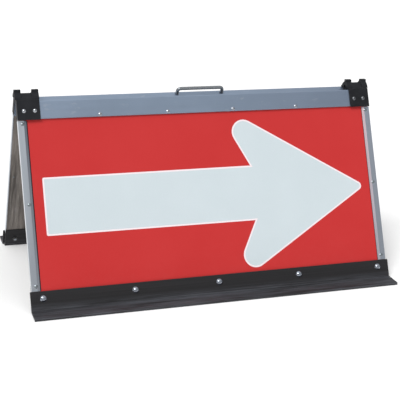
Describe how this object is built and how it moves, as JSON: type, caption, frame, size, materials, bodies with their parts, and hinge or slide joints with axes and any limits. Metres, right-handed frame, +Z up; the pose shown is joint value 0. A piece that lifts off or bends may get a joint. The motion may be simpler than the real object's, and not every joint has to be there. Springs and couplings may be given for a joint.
{
  "type": "folding a-frame road barricade",
  "caption": "Hinged red sign panels with white arrows, edged in aluminium and standing on rubber feet, that fold together and carry by a handle on top",
  "frame": {"origin": "on the ground, midway between the two feet and below the middle of the hinge line", "axes": "+X along the hinge line to the right as seen from the front panel, +Y from the front panel to the rear panel, +Z up"},
  "size_m": [0.91, 0.5336, 0.466],
  "materials": {
    "plywood": "matte",
    "red_film": "satin",
    "arrow_film": "satin",
    "aluminium": "brushed",
    "foot_rubber": "matte",
    "black_moulding": "matte",
    "steel": "satin",
    "handle_steel": "polished",
    "zinc_plate": "satin"
  },
  "bodies": {
    "front_panel": {"front_arrow": "arrow_film", "front_board": "plywood", "front_cap_screws": "zinc_plate", "front_foot": "foot_rubber", "front_foot_bolts": "zinc_plate", "front_foot_nuts": "zinc_plate", "front_foot_washers": "zinc_plate", "front_left_hinge_cap": "black_moulding", "front_left_side_angle": "aluminium", "front_rail_rivets": "zinc_plate", "front_red_sheet": "red_film", "front_right_hinge_cap": "black_moulding", "front_right_side_angle": "aluminium", "front_side_rivets": "zinc_plate", "front_top_rail": "aluminium", "left_hinge_pin": "steel", "right_hinge_pin": "steel"},
    "rear_panel": {"rear_arrow": "arrow_film", "rear_board": "plywood", "rear_cap_screws": "zinc_plate", "rear_foot": "foot_rubber", "rear_foot_bolts": "zinc_plate", "rear_foot_nuts": "zinc_plate", "rear_foot_washers": "zinc_plate", "rear_left_hinge_cap": "black_moulding", "rear_left_side_angle": "aluminium", "rear_rail_rivets": "zinc_plate", "rear_red_sheet": "red_film", "rear_right_hinge_cap": "black_moulding", "rear_right_side_angle": "aluminium", "rear_side_rivets": "zinc_plate", "rear_top_rail": "aluminium", "carry_handle": "handle_steel", "handle_washers": "zinc_plate", "handle_nuts": "zinc_plate"}
  },
  "joints": [
    {"name": "fold", "type": "hinge", "parent": "front_panel", "child": "rear_panel", "pos_m": [0, 0, 0.44704], "axis": [1, 0, 0], "range_deg": [-47.5, 0]}
  ]
}
